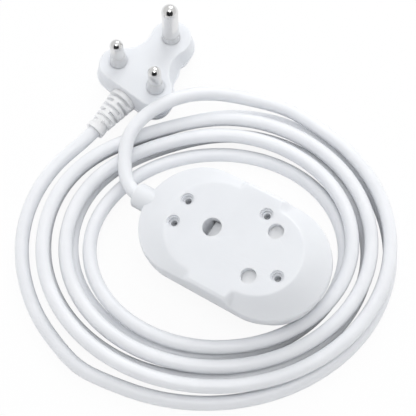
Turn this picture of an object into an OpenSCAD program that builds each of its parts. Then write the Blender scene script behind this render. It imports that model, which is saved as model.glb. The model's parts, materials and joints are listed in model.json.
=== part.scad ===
// Extension cord with a round-pin plug and a double-sided three-hole coupler.
// The coupler leans on the inner turns of its own coiled cord and the plug lies on its back.
// Units are millimetres. The floor is z = 0.

/* [Coupler body] */
// Thickness between the two socket faces
coupler_t = 33; // [32.5:0.5:38]
// Distance between the centres of the two round ends
end_spacing = 42; // [41:0.5:48]
// Radius of the round ends at the parting line
rim_r = 29.9; // [28.5:0.1:32]
// Offset of the body's middle from the middle of the sockets, away from the cord
body_shift = -4; // [-5:0.5:-3]
// Height of the parting line above the lower face
parting_z = 20; // [20:0.5:22]
// Height of the upright band above the parting line
band_h = 3; // [2:0.5:4]
// How far the edge of the upper face lies inside the rim
upper_face_in = 0.9; // [0.7:0.1:1.4]
// How far the edge of the lower face lies inside the rim
lower_face_in = 5.3; // [4:0.1:5.5]
// Radius that rounds the edges of both faces
edge_r = 1.5; // [1:0.1:2]
// Wall of the two shells
wall = 2.4; // [2:0.1:2.8]
// Thickness of the two socket faces
face_t = 3.6; // [3.4:0.1:3.8]
// Radius of the flat area round each group of holes
flat_r = 23.8; // [23.4:0.2:24.4]
// Fall of the long scallop at the cord end, per mm outwards
long_fall = 0.51; // [0.45:0.01:0.55]
// Fall of the short scallop at the far end, per mm outwards
short_fall = 0.72; // [0.64:0.02:0.76]
// Places where the long and the short scallop stop, along the body
scallop_stop = [-12, 10]; // [-14:0.5:14]

/* [Sockets] */
// Distance between the live and neutral holes
pole_pitch = 25.4; // [25.4:0.1:26]
// Distance from the earth hole to the line of the live and neutral holes
earth_pitch = 28.58; // [28.5:0.01:29]
// Radius of the live and neutral holes
pole_hole_r = 3.9; // [3.7:0.1:4.2]
// Radius of the earth hole
earth_hole_r = 4.8; // [4.6:0.1:5]
// Chamfer at the mouth of each hole
mouth = 0.4; // [0.2:0.1:0.5]

/* [Shutters] */
// Gap between a face and its shutter
shutter_gap = 0.3; // [0.2:0.1:0.4]
// Thickness of a shutter's plate
shutter_t = 2; // [1.6:0.1:2.2]
// Travel of a shutter as a plug goes in
shutter_travel = 8; // [7.8:0.1:8.2]
// Radius of the flaps that cover the live and neutral holes
flap_r = 4.5; // [4.3:0.1:4.7]
// Half width of the ramp behind the earth hole
ramp_half_w = 5; // [4.9:0.1:5.1]
// Wire radius of a return spring
spring_wire_r = 0.2; // [0.15:0.05:0.25]
// Middle radius of a return spring
spring_r = 0.7; // [0.6:0.05:0.75]
// Turns of a return spring
spring_turns = 7; // [5:1:8]

/* [Screws and contacts] */
// Radius of a housing screw's shank
screw_r = 1.5; // [1.4:0.05:1.6]
// Radius of a housing screw's head
screw_head_r = 3; // [2.8:0.1:3.1]
// Radius of the counterbores
counterbore_r = 3.4; // [3.3:0.1:3.5]
// Depth of the counterbores in the upper face
counterbore_depth = 2.6; // [2.2:0.1:2.8]
// Radius of the screw tubes of the upper shell
tube_r = 2.6; // [2.5:0.1:2.7]
// Radius of the screw posts of the lower shell
post_r = 3.4; // [3.2:0.1:3.5]
// Radius of the foot of each post, which carries the contact carrier
post_foot_r = 4.6; // [4.5:0.1:4.7]
// Thickness of the contact carrier
carrier_t = 3; // [2.5:0.1:3.2]
// Thickness of a contact strip
strip_t = 1.2; // [1:0.1:1.4]
// Wall of a contact tube
contact_wall = 1.1; // [0.8:0.1:1.2]
// Side of a terminal block
terminal_w = 6; // [5.5:0.1:6.5]
// Clearance round parts that pass through others
pass = 0.3; // [0.2:0.05:0.4]

/* [Plug] */
// Height of the plug body, from its back to its face
plug_h = 21; // [19:0.5:24]
// Length of the live and neutral pins
pole_pin_len = 18.6; // [18:0.1:19]
// Length of the earth pin
earth_pin_len = 28.6; // [28:0.1:28.8]
// Radius of the live and neutral pins
pole_pin_r = 3.53; // [3.5:0.01:3.55]
// Radius of the earth pin
earth_pin_r = 4.35; // [4.3:0.01:4.4]
// Height of the collars round the live and neutral pins above the face
pole_collar_h = 7; // [5:0.5:9]
// Height of the collar round the earth pin above the face
earth_collar_h = 4.5; // [3:0.5:7]
// Radius of the earth lobe at the face
earth_lobe_r = 11; // [10.8:0.1:12]
// Radius of the live and neutral lobes at the face
pole_lobe_r = 10; // [9.5:0.1:10.5]
// How far the body flares out below the face
flare = 1.7; // [1.2:0.1:2.2]
// Radius of the hollows in the flanks
waist_r = 14.5; // [13.5:0.1:15]
// Length of the strain relief outside the body
relief_len = 24.7; // [22:0.1:30]
// Radius of the strain relief at the plug
relief_r = 7.5; // [7:0.1:7.8]
// Radius of the strain relief at its thin end
relief_end_r = 4.9; // [4.8:0.1:5.6]
// Number of slotted rings in the strain relief
relief_rings = 6; // [4:1:8]

/* [Cord] */
// Diameter of the cord
cord_d = 7.2; // [7:0.1:7.4]
// Diameter of one insulated core
core_d = 2.4; // [2.2:0.1:2.6]
// Turns of the coil
coil_turns = 5.5; // [3.5:1:7.5]
// Mean half length of the coil
coil_a = 78; // [76:0.5:90]
// Mean half width of the coil
coil_b = 66.5; // [64:0.5:80]
// Distance between neighbouring turns of the upper layer at the tight side
coil_pitch = 9.5; // [9.2:0.1:10.4]

/* [Hidden] */
$fn = 64;
eps = 0.01;
white = [0.93, 0.94, 0.96];
pale = [0.88, 0.88, 0.87];
nickel = [0.78, 0.78, 0.8];
brass = [0.8, 0.66, 0.36];
steel = [0.7, 0.71, 0.73];

// ---- hole and screw places in the coupler's own frame: x along it, y across, z up ----
upper_face_r = rim_r - upper_face_in;
lower_face_r = rim_r - lower_face_in;
far_flat_in = [2.2, 2.1];
pole_x = earth_pitch / 2;
earth_x = -earth_pitch / 2;
pole_y = pole_pitch / 2;
screw_places = [[-32.8, 6.5], [-32.8, -6.5], [5.9, 17.9], [26.6, -6.7]];
end_x = [body_shift - end_spacing / 2, body_shift + end_spacing / 2];

// ---- how the coupler lies: its far end and its live side are raised ----
pitch = 9;
roll = 6;
function tilt(p) = [
    p.x * cos(pitch) - sin(pitch) * (p.y * sin(roll) + p.z * cos(roll)),
    p.y * cos(roll) - p.z * sin(roll),
    p.x * sin(pitch) + cos(pitch) * (p.y * sin(roll) + p.z * cos(roll))
];
// reach of an upright ring of radius r at height z, in the direction whose local form is n
function ring_reach(n, x, r, z) = x * n.x + z * n.z + r * norm([n.x, n.y]);
function body_reach(n) = max([
    for (x = end_x) for (k = [
        [lower_face_r - edge_r, 0], [rim_r, parting_z], [rim_r, parting_z + band_h],
        [upper_face_r - edge_r, coupler_t]
    ]) ring_reach(n, x, k[0], k[1])
]);
nose_x = end_x[0] - rim_r - 7.7;
nose_r = 6.6;
nose_round = 1.2;
nose_half = [12, 20, 12];
function nose_reach(n) = nose_x * n.x + parting_z * n.z + (nose_r - nose_round) * norm([n.y, n.z]);
function reach(n) = max(body_reach(n), nose_reach(n));
along = [cos(pitch), -sin(pitch) * sin(roll), -sin(pitch) * cos(roll)];
across = [0, cos(roll), -sin(roll)];
upward = [sin(pitch), cos(pitch) * sin(roll), cos(pitch) * cos(roll)];
rest_place = [
    (reach(-along) - reach(along)) / 2,
    (reach(-across) - reach(across)) / 2,
    reach(-upward)
];
function coupler_point(p) = tilt(p) + rest_place;

module in_coupler() {
    translate(rest_place)
        rotate([roll, -pitch, 0])
            children();
}

// the lower socket is the upper one turned over about the line across the coupler
module turned_over() {
    translate([0, 0, coupler_t])
        rotate([0, 180, 0])
            children();
}

// ---- profiles ----
function arc(cx, cy, r, a0, a1, n = 4) =
    [for (i = [0:n]) [cx + r * cos(a0 + (a1 - a0) * i / n), cy + r * sin(a0 + (a1 - a0) * i / n)]];

// the solid that a half profile gives when it is carried round the coupler's oval
module oval(profile) {
    for (side = [0, 1])
        translate([end_x[side], 0, 0])
            rotate([0, 0, side == 0 ? 90 : -90])
                rotate_extrude(angle = 180)
                    polygon(profile);
    flipped = [for (i = [len(profile) - 1:-1:0]) if (profile[i].x > 0) [-profile[i].x, profile[i].y]];
    translate([end_x[0], 0, 0])
        rotate([90, 0, 90])
            linear_extrude(end_spacing)
                polygon(concat([for (p = profile) if (p.x > 0) p], flipped));
}

module oval_plate(r, z0, z1) {
    oval([[0, z0], [r, z0], [r, z1], [0, z1]]);
}

// what lies outside the cones that fall away from the flat area, at the cord end or the far end
module scallop(end, drop, shift) {
    fall = end == 0 ? long_fall : short_fall;
    x = end == 0 ? earth_x : pole_x - far_flat_in[0];
    r = end == 0 ? flat_r : flat_r - far_flat_in[1];
    away = end == 0 ? -1 : 1;
    stop = scallop_stop[end] - away * shift;
    depth = coupler_t - parting_z + 8;
    reach_x = 60;
    reach_y = 45;
    translate([0, 0, -drop])
        difference() {
            translate([end == 0 ? stop - reach_x : stop, -reach_y, coupler_t - depth])
                cube([reach_x, 2 * reach_y, depth + 5]);
            translate([x, 0, coupler_t - depth])
                cylinder(r1 = r + depth / fall, r2 = r, h = depth);
            translate([x, 0, coupler_t - eps])
                cylinder(r = r, h = 6);
        }
}

// ---- upper shell ----
upper_profile = concat(
    [[0, parting_z], [rim_r, parting_z], [rim_r, parting_z + band_h]],
    arc(upper_face_r - edge_r, coupler_t - edge_r, edge_r, 12, 90),
    [[0, coupler_t]]
);
upper_hollow = [
    [0, parting_z - 1], [rim_r - wall, parting_z - 1], [rim_r - wall, parting_z + band_h - 0.6],
    [upper_face_r - wall, coupler_t - face_t], [0, coupler_t - face_t]
];
tongue_h = 1.8;
tongue_r = rim_r - wall - 0.75;
tongue_t = 1;
function shell_r(z) = lower_face_r + (rim_r - lower_face_r) * z / parting_z;

module nose() {
    translate([nose_x, 0, parting_z])
        rotate([0, 90, 0])
            rotate_extrude()
                polygon(concat([[0, 0]], arc(nose_r - nose_round, nose_round, nose_round, -90, 0),
                               [[nose_r, end_x[0] - rim_r + 8 - nose_x], [0, end_x[0] - rim_r + 8 - nose_x]]));
}

cord_pass_r = cord_d / 2 + 0.15;
cord_pass_len = 16;
module cord_passage() {
    translate([nose_x - 1, 0, parting_z])
        rotate([0, 90, 0])
            cylinder(r = cord_pass_r, h = cord_pass_len);
}

// a hole with a chamfered mouth through the face whose outside is at z = top
module face_hole(x, y, r, top) {
    translate([x, y, top - face_t - 1])
        cylinder(r = r, h = face_t + 2);
    translate([x, y, top - mouth])
        cylinder(r1 = r, r2 = r + mouth + 0.1, h = mouth + 0.1);
}

module face_holes() {
    face_hole(earth_x, 0, earth_hole_r, coupler_t);
    for (s = [-1, 1])
        face_hole(pole_x, s * pole_y, pole_hole_r, coupler_t);
}

spring_y = 6.2;
spring_arm_x = -22;
peg_x = -28.7;
peg_r = 0.8;
shutter_z = coupler_t - face_t - shutter_gap - shutter_t;
module spring_peg() {
    translate([peg_x, spring_y, shutter_z - 0.3])
        cylinder(r = peg_r, h = coupler_t - face_t - shutter_z + 0.6);
}

pilot_r = screw_r + 0.1;
module upper_shell() color(white) in_coupler() {
    difference() {
        union() {
            difference() {
                oval(upper_profile);
                scallop(0, 0, 0);
                scallop(1, 0, 0);
                difference() {
                    oval(upper_hollow);
                    scallop(0, face_t - 0.4, wall);
                    scallop(1, face_t - 0.4, wall);
                }
            }
            intersection() {
                nose();
                translate([nose_x - 1, -nose_half.y / 2, parting_z])
                    cube(nose_half);
            }
            for (p = screw_places)
                translate([p.x, p.y, parting_z])
                    cylinder(r = tube_r, h = coupler_t - face_t - parting_z + 1);
            difference() {
                oval_plate(tongue_r, parting_z - tongue_h, parting_z + 1);
                oval_plate(tongue_r - tongue_t, parting_z - tongue_h - 1, parting_z + 2);
            }
            difference() {
                oval_plate(rim_r - 1, parting_z, parting_z + 1);
                oval_plate(tongue_r - tongue_t, parting_z - 1, parting_z + 2);
            }
            spring_peg();
        }
        cord_passage();
        face_holes();
        for (p = screw_places) {
            translate([p.x, p.y, parting_z - 1])
                cylinder(r = pilot_r, h = coupler_t);
            translate([p.x, p.y, coupler_t - counterbore_depth])
                cylinder(r = counterbore_r, h = counterbore_depth + 1);
        }
    }
}

// ---- lower shell ----
lower_profile = concat(
    [[0, 0]],
    arc(lower_face_r - edge_r, edge_r, edge_r, -90, -12),
    [[rim_r, parting_z], [0, parting_z]]
);
lower_hollow = [
    [0, face_t], [shell_r(face_t) - wall, face_t], [rim_r - wall, parting_z],
    [rim_r - wall, parting_z + 1], [0, parting_z + 1]
];
carrier_z = 14;
head_seat_z = 4;
head_h = 2;
screw_short = 3;
clamp_x = end_x[0] - 16.2;
clamp_w = 3.2;
clamp_t = 2;
clamp_post_y = 6.2;
clamp_post_r = 2.2;
clamp_half = 8.4;
clamp_z = parting_z + cord_d / 2;
clamp_screw_r = 1.2;
clamp_head = [0.8, 0.9];
clamp_grip = 3.5;
clamp_pilot = 12;
clamp_seat_z = clamp_z + clamp_t - clamp_head[1];
clamp_head_y = clamp_post_y - clamp_screw_r - clamp_head[0] - 0.2;

module lower_shell() color(white) in_coupler() {
    difference() {
        union() {
            difference() {
                oval(lower_profile);
                oval(lower_hollow);
            }
            intersection() {
                nose();
                translate([nose_x - 1, -nose_half.y / 2, parting_z - nose_half.z])
                    cube(nose_half);
            }
            for (p = screw_places) {
                translate([p.x, p.y, eps])
                    cylinder(r = post_foot_r, h = carrier_z - eps);
                translate([p.x, p.y, carrier_z - 1])
                    cylinder(r = post_r, h = parting_z - carrier_z + 1);
            }
            for (s = [-1, 1])
                translate([clamp_x, s * clamp_post_y, face_t - 1])
                    cylinder(r = clamp_post_r, h = clamp_z - pass - face_t + 1);
            translate([clamp_x - clamp_w / 2, -4, face_t - 1])
                cube([clamp_w, 8, parting_z - cord_d / 2 - pass - face_t + 1]);
            turned_over()
                spring_peg();
        }
        cord_passage();
        turned_over()
            face_holes();
        for (p = screw_places) {
            translate([p.x, p.y, -1])
                cylinder(r = screw_r + 0.2, h = parting_z + 2);
            translate([p.x, p.y, -1])
                cylinder(r = counterbore_r, h = head_seat_z + 1);
        }
        for (s = [-1, 1])
            translate([clamp_x, s * clamp_post_y, parting_z - 4])
                cylinder(r = clamp_screw_r + 0.1, h = clamp_pilot);
    }
}

// ---- shutters ----
ramp_x0 = earth_x - 3.3;
ramp_x1 = earth_x + 6.3;
cross_x1 = 0;
arm_y = [7, 13];
ramp_easy = [7, 3.4];
// the ramp is steep below and easy near the face, where the earth pin meets it first
module shutter_solid() {
    top = shutter_z + shutter_t;
    slope_h = shutter_travel;
    translate([0, ramp_half_w, 0])
        rotate([90, 0, 0])
            linear_extrude(2 * ramp_half_w)
                polygon([
                    [ramp_x0, top - slope_h - 0.4], [ramp_x0, top - slope_h],
                    [ramp_x0 + slope_h - ramp_easy[0], top - ramp_easy[1]], [ramp_x0 + slope_h, top],
                    [ramp_x1, top], [ramp_x1, top - slope_h - 0.4]
                ]);
    translate([ramp_x1 - 0.5, -arm_y[1], shutter_z])
        cube([cross_x1 - ramp_x1 + 0.5, 2 * arm_y[1], shutter_t]);
    for (s = [-1, 1]) {
        translate([cross_x1 - eps, s > 0 ? arm_y[0] : -arm_y[1], shutter_z])
            cube([pole_x - cross_x1, arm_y[1] - arm_y[0], shutter_t]);
        translate([pole_x, s * pole_y, shutter_z])
            cylinder(r = flap_r, h = shutter_t);
    }
    translate([spring_arm_x, spring_y - 0.9, shutter_z])
        cube([ramp_x1 - spring_arm_x, 1.8, shutter_t]);
}

module upper_shutter() color(pale) in_coupler() shutter_solid();

module lower_shutter() color(pale) in_coupler() turned_over() shutter_solid();

// ---- tubes swept along points ----
function unit(v) = v / norm(v);
function tangent(pts, i) = unit(pts[min(i + 1, len(pts) - 1)] - pts[max(i - 1, 0)]);
function ring(p, t, r, sides, up) =
    let (s = unit(cross(up, t)), u = cross(t, s))
    [for (k = [0:sides - 1]) let (a = 360 * (k + 0.5) / sides) p + r * (sin(a) * s - cos(a) * u)];

// a closed tube of flat facets round the points, with the first and last face square to the path
module swept(pts, r, sides, up = [0, 0, 1]) {
    n = len(pts);
    skin = [for (i = [0:n - 1]) each ring(pts[i], tangent(pts, i), r, sides, up)];
    walls = [
        for (i = [0:n - 2]) for (k = [0:sides - 1])
            let (a = i * sides + k, b = i * sides + (k + 1) % sides)
            each [[a, b, b + sides], [a, b + sides, a + sides]]
    ];
    first = [for (k = [1:sides - 2]) [0, k + 1, k]];
    last = [for (k = [1:sides - 2]) [(n - 1) * sides, (n - 1) * sides + k, (n - 1) * sides + k + 1]];
    polyhedron(points = skin, faces = concat(walls, first, last), convexity = 8);
}

// a smooth curve through the points, whose first and last spans are straight
function curve_at(p, i, s) =
    let (a = p[max(i - 1, 0)], b = p[i], c = p[i + 1], d = p[min(i + 2, len(p) - 1)])
    0.5 * (2 * b + (c - a) * s + (2 * a - 5 * b + 4 * c - d) * s * s + (3 * b - a - 3 * c + d) * s * s * s);
function curve(p, steps) = concat(
    [p[0]],
    [for (i = [1:len(p) - 3]) for (k = [0:steps - 1]) curve_at(p, i, k / steps)],
    [p[len(p) - 2], p[len(p) - 1]]
);

function length_of(pts, i = 0, sum = 0) =
    i >= len(pts) - 1 ? sum : length_of(pts, i + 1, sum + norm(pts[i + 1] - pts[i]));

// ---- shutter springs ----
spring_x0 = peg_x + peg_r + 0.1;
spring_x1 = spring_arm_x - 0.1;
spring_sides = 6;
spring_rings = 8;
module shutter_spring() {
    count = spring_turns * spring_rings;
    z = shutter_z + shutter_t / 2;
    pts = [
        for (i = [0:count])
            let (a = 360 * i / spring_rings)
            [spring_x0 + spring_wire_r + (spring_x1 - spring_x0 - 2 * spring_wire_r) * i / count,
             spring_y + spring_r * cos(a), z + spring_r * sin(a)]
    ];
    swept(pts, spring_wire_r, spring_sides, [1, 0, 0]);
}

module upper_shutter_spring() color(steel) in_coupler() shutter_spring();

module lower_shutter_spring() color(steel) in_coupler() turned_over() shutter_spring();

// ---- contacts ----
strip_z = carrier_z + carrier_t;
pole_grip_r = pole_pin_r + 0.07;
earth_grip_r = earth_pin_r + 0.07;
shutter_clear = 0.6;
pole_tube_top = shutter_z - shutter_clear;
pole_tube_foot = coupler_t - pole_pin_len - 0.6;
earth_tube_top = shutter_z + shutter_t - shutter_travel - 1.4;
earth_tube_foot = coupler_t - earth_tube_top - 7;
terminal_x = -24;
terminal_h = 5.2;
terminal_bore_z = 2.6;
terminal_head = [0.8, 1.6];
pole_strip_half = 1.5;
earth_strip_half = 3;
contact_slit = 0.8;
slit_depth = 5;
core_z = strip_z + 3.5;

module contact_tube(x, y, r, z0, z1) {
    translate([x, y, z0])
        cylinder(r = r + contact_wall, h = z1 - z0);
}

module contact_bore(x, y, r, z0, z1) {
    translate([x, y, z0 - 1])
        cylinder(r = r, h = z1 - z0 + 2);
}

// a strip with a tube that grips pins from above, one that grips pins from below, and a terminal
module contact(y, half_w, r, up_x, up_z, down_x, down_z) {
    difference() {
        union() {
            translate([terminal_x - terminal_w / 2, y - half_w, strip_z])
                cube([max(up_x, down_x) - terminal_x + terminal_w / 2, 2 * half_w, strip_t]);
            translate([terminal_x - terminal_w / 2, y - terminal_w / 2, strip_z])
                cube([terminal_w, terminal_w, terminal_h]);
            contact_tube(up_x, y, r, up_z[0], up_z[1]);
            contact_tube(down_x, y, r, down_z[0], down_z[1]);
        }
        contact_bore(up_x, y, r, up_z[0], up_z[1]);
        contact_bore(down_x, y, r, down_z[0], down_z[1]);
        slit_x = r + 2 * contact_wall;
        translate([up_x - slit_x, y - contact_slit / 2, up_z[1] - slit_depth])
            cube([2 * slit_x, contact_slit, slit_depth + 1]);
        translate([down_x - slit_x, y - contact_slit / 2, down_z[0] - 1])
            cube([2 * slit_x, contact_slit, slit_depth + 1]);
        translate([terminal_x, y, strip_z + terminal_bore_z])
            cylinder(r = screw_r + 0.1, h = terminal_h);
    }
}

pole_up_z = [pole_tube_foot, pole_tube_top];
pole_down_z = [coupler_t - pole_tube_top, strip_z + strip_t];
earth_up_z = [earth_tube_foot, earth_tube_top];
earth_down_z = [coupler_t - earth_tube_top, coupler_t - earth_tube_foot];

module live_contact() color(brass) in_coupler()
    contact(pole_y, pole_strip_half, pole_grip_r, pole_x, pole_up_z, earth_x, pole_down_z);

module neutral_contact() color(brass) in_coupler()
    contact(-pole_y, pole_strip_half, pole_grip_r, pole_x, pole_up_z, earth_x, pole_down_z);

module earth_contact() color(brass) in_coupler()
    contact(0, earth_strip_half, earth_grip_r, earth_x, earth_up_z, pole_x, earth_down_z);

module terminal_screws() color(steel) in_coupler()
    for (y = [-pole_y, 0, pole_y]) {
        translate([terminal_x, y, strip_z + terminal_bore_z + 0.1])
            cylinder(r = screw_r, h = terminal_h - terminal_bore_z - 0.1);
        translate([terminal_x, y, strip_z + terminal_h])
            cylinder(r = screw_r + terminal_head[0], h = terminal_head[1]);
    }

carrier_end_x = -38;
module contact_carrier() color(pale) in_coupler()
    difference() {
        oval_plate(shell_r(carrier_z) - wall - pass, carrier_z, strip_z);
        translate([carrier_end_x - 2 * rim_r, -2 * rim_r, carrier_z - 1])
            cube([2 * rim_r, 4 * rim_r, carrier_t + 2]);
        for (p = screw_places)
            translate([p.x, p.y, carrier_z - 1])
                cylinder(r = post_r + pass, h = carrier_t + 2);
        for (x = [earth_x, pole_x]) {
            translate([x, 0, carrier_z - 1])
                cylinder(r = earth_grip_r + contact_wall + pass, h = carrier_t + 2);
            for (s = [-1, 1])
                translate([x, s * pole_y, carrier_z - 1])
                    cylinder(r = pole_grip_r + contact_wall + pass, h = carrier_t + 2);
        }
    }

module housing_screws() color(steel) in_coupler()
    for (p = screw_places) {
        translate([p.x, p.y, head_seat_z - head_h])
            cylinder(r = screw_head_r, h = head_h);
        translate([p.x, p.y, head_seat_z - eps])
            cylinder(r = screw_r, h = coupler_t - face_t - screw_short - head_seat_z);
    }

// ---- cord clamp ----
module cord_clamp() color(pale) in_coupler()
    difference() {
        translate([clamp_x - clamp_w / 2, -clamp_half, clamp_z])
            cube([clamp_w, 2 * clamp_half, clamp_t]);
        for (s = [-1, 1]) {
            translate([clamp_x, s * clamp_post_y, clamp_z - 1])
                cylinder(r = clamp_screw_r + 0.1, h = clamp_t + 2);
            translate([clamp_x - clamp_w, s > 0 ? clamp_head_y : -clamp_half - 1, clamp_seat_z])
                cube([2 * clamp_w, clamp_half + 1 - clamp_head_y, clamp_head[1] + 1]);
        }
    }

module clamp_screws() color(steel) in_coupler()
    for (s = [-1, 1]) {
        translate([clamp_x, s * clamp_post_y, parting_z - clamp_grip])
            cylinder(r = clamp_screw_r, h = clamp_seat_z - parting_z + clamp_grip);
        translate([clamp_x, s * clamp_post_y, clamp_seat_z])
            cylinder(r = clamp_screw_r + clamp_head[0], h = clamp_head[1]);
    }

// ---- cores inside the coupler ----
jacket_end_x = clamp_x + clamp_w / 2 + 0.1;
core_steps = 3;
core_sides = 8;
pole_core_route = [
    [jacket_end_x, 1.4, parting_z + 0.3], [jacket_end_x + 0.5, 1.4, parting_z + 0.3],
    [-38.2, 3, core_z], [-37.6, 6.3, core_z], [-36.6, 9.8, core_z], [-34, 12.2, core_z],
    [-30, pole_y, core_z], [terminal_x - terminal_w / 2, pole_y, core_z]
];
earth_core_route = [
    [jacket_end_x, 0, parting_z - 1.7], [-38.5, 0, parting_z - 1.7], [-35, 0, parting_z - 0.5],
    [-31, 0, core_z], [terminal_x - terminal_w / 2, 0, core_z]
];

module core(route) {
    swept(curve(route, core_steps), core_d / 2, core_sides);
}

module coupler_live_core() color([0.45, 0.28, 0.16]) in_coupler() core(pole_core_route);

module coupler_neutral_core() color([0.2, 0.4, 0.75]) in_coupler() mirror([0, 1, 0]) core(pole_core_route);

module coupler_earth_core() color([0.55, 0.7, 0.2]) in_coupler() core(earth_core_route);

// ---- the coil: an upper layer spirals in, a lower one spirals out ----
stretch_sides = 8;
coil_sides = 6;
cord_r = cord_d / 2;
floor_z = cord_r * cos(180 / stretch_sides);
coil_r = floor_z / cos(180 / coil_sides);
layer_step = cord_d + 0.5;
coil_centre = [-7.8, 2.5];
coil_turn = 34.5;
coil_start = 55;
inner_step = 14.3;
loosen = 1.9;
tight = 2;
fan = 0.24;
fan_side = 150;
press = 0.32;
press_side = 112;
press_spread = 10;
half_turns = coil_turns / 2;
rings_per_turn = 24;

// how the spacing of the turns varies round the coil: wider at one side, pressed in beside the plug
function spread(a) =
    1 + fan * pow((1 + cos(a - fan_side)) / 2, 2) - press * exp(press_spread * (cos(a - press_side) - 1));

// share of the climb done at turn t: 0 in the upper layer, 1 in the lower one
function climb(t) =
    let (s = min(1, max(0, (t - half_turns) * 2 + 0.5)))
    s * s * (3 - 2 * s);
function coil_point(t) =
    let (
        a = coil_start - 360 * t,
        c = climb(t),
        rate = (coil_pitch + (t > half_turns ? loosen : 0)) * spread(a),
        out = rate * abs(t - half_turns) - inner_step - tight * c,
        x = (coil_a + out) * cos(a),
        y = (coil_b + out) * sin(a)
    )
    [
        coil_centre.x + x * cos(coil_turn) - y * sin(coil_turn),
        coil_centre.y + x * sin(coil_turn) + y * cos(coil_turn),
        floor_z + layer_step * (1 - c)
    ];
coil_steps = ceil(coil_turns * rings_per_turn);
coil_core = [for (i = [0:coil_steps]) coil_point(coil_turns * i / coil_steps)];
coil_in = unit(coil_core[0] - coil_core[1]);
coil_out = unit(coil_core[coil_steps] - coil_core[coil_steps - 1]);
coil_first = coil_core[0] + coil_in * cord_d;
coil_last = coil_core[coil_steps] + coil_out * cord_d;
coil_route = concat([coil_first], coil_core, [coil_last]);

// least distance between the skins of two places of the coil at least half a turn apart
coil_gap = min([
    for (i = [0:coil_steps]) for (j = [i + rings_per_turn / 2:1:coil_steps])
        norm(coil_core[i] - coil_core[j])
]) - cord_d;
echo(least_coil_gap_mm = coil_gap);

module cord_coil() color(white) swept(coil_route, coil_r, coil_sides);

// ---- free stretches ----
plug_place = [-91.9, 56.5];
plug_yaw = -5.5;
relief_z = 10.5;
relief_x0 = -11.3;
relief_tip = relief_x0 - relief_len;
function plug_point(p) = [
    plug_place.x + p.x * cos(plug_yaw) - p.y * sin(plug_yaw),
    plug_place.y + p.x * sin(plug_yaw) + p.y * cos(plug_yaw),
    p.z
];
coupler_route = concat(
    [coupler_point([jacket_end_x, 0, parting_z]), coupler_point([nose_x, 0, parting_z]),
     coupler_point([nose_x - cord_d, 0, parting_z])],
    [[-68, 10, 19], [-73, 17, 21], [-75.5, 25, 22.5], [-75, 34, 23.5], [-72, 43, 24],
     [-66, 55, 23.5], [-58, 65, 20.5], [-48, 73, 17], [-36, 79, 14]],
    [coil_first + coil_in * cord_d, coil_first]
);
plug_route = concat(
    [coil_last, coil_last + coil_out * cord_d],
    [[-37, -86, 3.5], [-62, -77, 3.7], [-81, -63, 4.4], [-93, -48, 5.4], [-100, -31, 6.6],
     [-102, -14, 8.2], [-100, 1, 9.8]],
    [plug_point([0, relief_tip - cord_d, relief_z]), plug_point([0, relief_tip, relief_z]),
     plug_point([0, relief_x0 + 5, relief_z])]
);
stretch_steps = 2;
coupler_stretch = curve(coupler_route, stretch_steps);
plug_stretch = curve(plug_route, stretch_steps);
echo(cord_length_mm = [length_of(coupler_stretch), length_of(coil_route), length_of(plug_stretch)]);

module cord_coupler_stretch() color(white) swept(coupler_stretch, cord_r, stretch_sides);

module cord_plug_stretch() color(white) swept(plug_stretch, cord_r, stretch_sides);

// ---- plug ----
module in_plug() {
    translate([plug_place.x, plug_place.y, 0])
        rotate([0, 0, plug_yaw])
            children();
}

lobe_drop = 1.3;
lobe_in = 0.5;
ledge_z = 11;
ledge = 0.4;
crown_r = 1.6;
lobes = [
    [0, earth_pitch, earth_lobe_r],
    [lobe_in - pole_y, -lobe_drop, pole_lobe_r],
    [pole_y - lobe_in, -lobe_drop, pole_lobe_r]
];
waist_place = [24.2, 20.8];
hull_fn = 40;

module lobe_upper(r) {
    translate([0, 0, ledge_z])
        cylinder(r1 = r + flare - ledge, r2 = r, h = plug_h - ledge_z - crown_r, $fn = hull_fn);
    for (k = arc(r - crown_r, plug_h - crown_r, crown_r, 30, 90, 2))
        translate([0, 0, k.y - 0.1])
            cylinder(r = k.x, h = 0.1, $fn = hull_fn);
}

foot_r = 3.5;
module lobe_lower(r) {
    for (k = concat([[r + flare, ledge_z]], arc(r + flare - foot_r, foot_r, foot_r, 0, -90, 3)))
        translate([0, 0, max(0, k.y - 0.1)])
            cylinder(r = k.x, h = 0.1, $fn = hull_fn);
}

bridge_z = [10, 15.5];
bridge_r = 6.4;
bridge_bar = 8;
tail_r = 2;
tail_z = 4;

pin_places = [[0, earth_pitch], [pole_y, 0], [-pole_y, 0]];
pin_rs = [earth_pin_r, pole_pin_r, pole_pin_r];
module bridge_solid(grow) {
    for (p = pin_places)
        translate([p.x, p.y, bridge_z[0] - grow])
            cylinder(r = bridge_r + grow, h = bridge_z[1] - bridge_z[0] + 2 * grow);
    translate([-pole_y, -bridge_bar / 2 - grow, bridge_z[0] - grow])
        cube([pole_pitch, bridge_bar + 2 * grow, bridge_z[1] - bridge_z[0] + 2 * grow]);
    translate([-bridge_bar / 2 - grow, 0, bridge_z[0] - grow])
        cube([bridge_bar + 2 * grow, earth_pitch, bridge_z[1] - bridge_z[0] + 2 * grow]);
}

// collars: foot radius and top radius, round the earth, live and neutral pins
pin_neck = 0.4;
collar_rs = [
    [earth_pin_r + 0.4, earth_pin_r + 0.3],
    [pole_pin_r + 0.87, pole_pin_r + 0.32],
    [pole_pin_r + 0.87, pole_pin_r + 0.32]
];
collar_hs = [earth_collar_h, pole_collar_h, pole_collar_h];
collar_foot = bridge_z[1] + 0.1;
groove_r = 5.3;
groove_depth = 0.4;
core_low_z = 5.6;
crimp_r = tail_r + 0.9;
relief_root = 6;
relief_mouth = 12;
core_room = core_d / 2 + 0.4;
core_slot_h = bridge_z[0] - core_low_z + core_room;
plug_core_y = relief_x0 + 5.2;

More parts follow.
